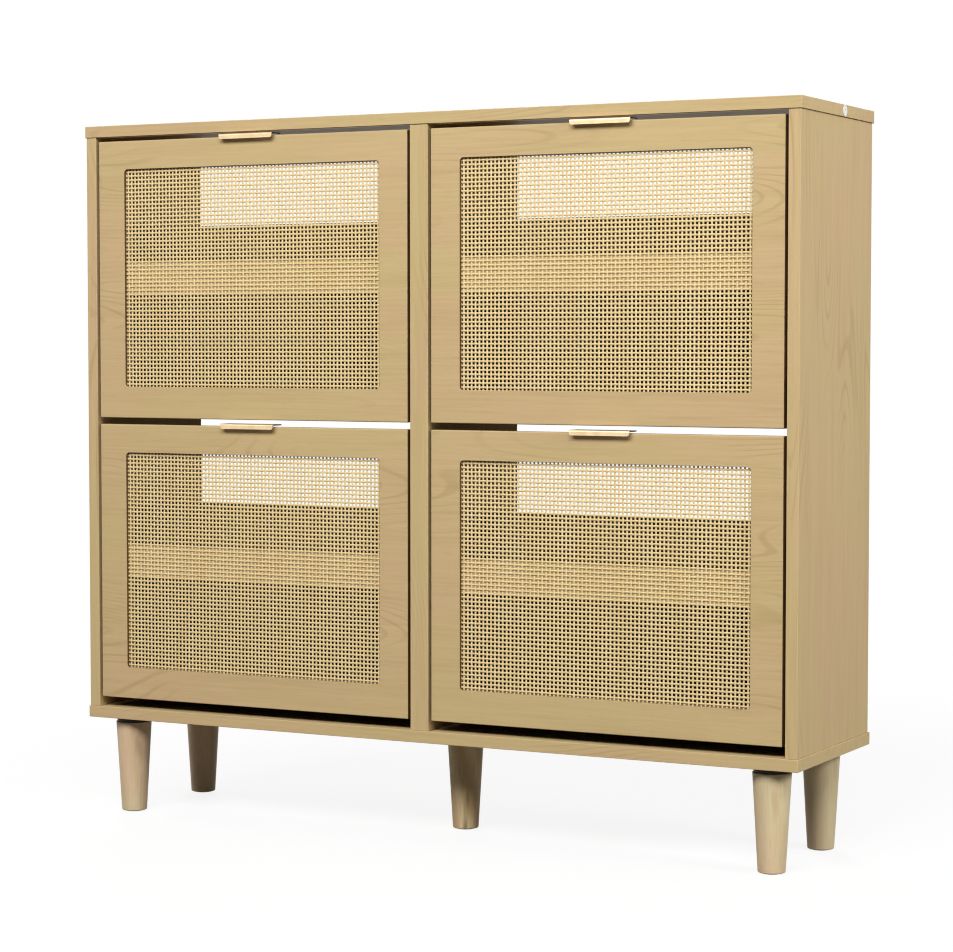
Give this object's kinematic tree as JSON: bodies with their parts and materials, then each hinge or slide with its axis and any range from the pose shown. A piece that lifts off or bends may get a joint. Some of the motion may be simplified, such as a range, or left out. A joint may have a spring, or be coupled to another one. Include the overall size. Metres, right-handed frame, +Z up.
{
  "type": "shoe cabinet",
  "caption": "Shallow shoe cabinet in light oak laminate on tapered turned legs, with inset flip-out doors of framed cane webbing, each with an edge pull and a tilting shoe rack behind.",
  "frame": {"origin": "middle of the centre foot, on the floor", "axes": "+X along the width to the viewer's right, +Y to the back, +Z up; the doors face -Y"},
  "size_m": [1.0012, 0.256, 0.907],
  "materials": {
    "laminate": "satin light oak laminate on board",
    "rack_board": "matte dark brown hardboard",
    "cane": "natural cane, close square weave",
    "leg_wood": "clear-lacquered turned hardwood",
    "dowel_wood": "plain beech",
    "pull_brass": "pale satin gold",
    "steel": "zinc plated",
    "black_plastic": "moulded black",
    "white_plastic": "moulded white",
    "grey_plastic": "moulded grey"
  },
  "bodies": {
    "cabinet": {"top_board": "laminate", "bottom_board": "laminate", "left_side": "laminate", "right_side": "laminate", "centre_divider": "laminate", "rear_rails": "laminate", "front_legs": "leg_wood", "back_legs": "leg_wood", "centre_leg": "leg_wood", "leg_collars": "black_plastic", "leg_bolts": "steel", "leg_inserts": "steel", "leg_glides": "grey_plastic", "dowels": "dowel_wood", "connector_drums": "white_plastic", "connector_bolts": "steel", "cover_caps": "white_plastic", "panel_screws": "steel", "pivot_plates": "black_plastic", "plate_screws": "steel"},
    "upper_left_drawer": {"upper_left_door_board": "laminate", "upper_left_cane_panel": "cane", "upper_left_cane_battens": "laminate", "upper_left_door_pull": "pull_brass", "upper_left_rack_brackets": "black_plastic", "upper_left_rack_floor": "rack_board", "upper_left_rack_back": "rack_board", "upper_left_rack_shelf": "rack_board", "upper_left_rack_baffle": "rack_board", "upper_left_drawer_screws": "steel"},
    "upper_right_drawer": {"upper_right_door_board": "laminate", "upper_right_cane_panel": "cane", "upper_right_cane_battens": "laminate", "upper_right_door_pull": "pull_brass", "upper_right_rack_brackets": "black_plastic", "upper_right_rack_floor": "rack_board", "upper_right_rack_back": "rack_board", "upper_right_rack_shelf": "rack_board", "upper_right_rack_baffle": "rack_board", "upper_right_drawer_screws": "steel"},
    "lower_left_drawer": {"lower_left_door_board": "laminate", "lower_left_cane_panel": "cane", "lower_left_cane_battens": "laminate", "lower_left_door_pull": "pull_brass", "lower_left_rack_brackets": "black_plastic", "lower_left_rack_floor": "rack_board", "lower_left_rack_back": "rack_board", "lower_left_rack_shelf": "rack_board", "lower_left_rack_baffle": "rack_board", "lower_left_drawer_screws": "steel"},
    "lower_right_drawer": {"lower_right_door_board": "laminate", "lower_right_cane_panel": "cane", "lower_right_cane_battens": "laminate", "lower_right_door_pull": "pull_brass", "lower_right_rack_brackets": "black_plastic", "lower_right_rack_floor": "rack_board", "lower_right_rack_back": "rack_board", "lower_right_rack_shelf": "rack_board", "lower_right_rack_baffle": "rack_board", "lower_right_drawer_screws": "steel"}
  },
  "joints": [
    {"name": "upper_left_flip", "type": "hinge", "parent": "cabinet", "child": "upper_left_drawer", "pos_m": [-0.248, -0.099, 0.575], "axis": [1, 0, 0], "range_deg": [0, 45]},
    {"name": "upper_right_flip", "type": "hinge", "parent": "cabinet", "child": "upper_right_drawer", "pos_m": [0.248, -0.099, 0.575], "axis": [1, 0, 0], "range_deg": [0, 45]},
    {"name": "lower_left_flip", "type": "hinge", "parent": "cabinet", "child": "lower_left_drawer", "pos_m": [-0.248, -0.099, 0.205], "axis": [1, 0, 0], "range_deg": [0, 45]},
    {"name": "lower_right_flip", "type": "hinge", "parent": "cabinet", "child": "lower_right_drawer", "pos_m": [0.248, -0.099, 0.205], "axis": [1, 0, 0], "range_deg": [0, 45]}
  ]
}
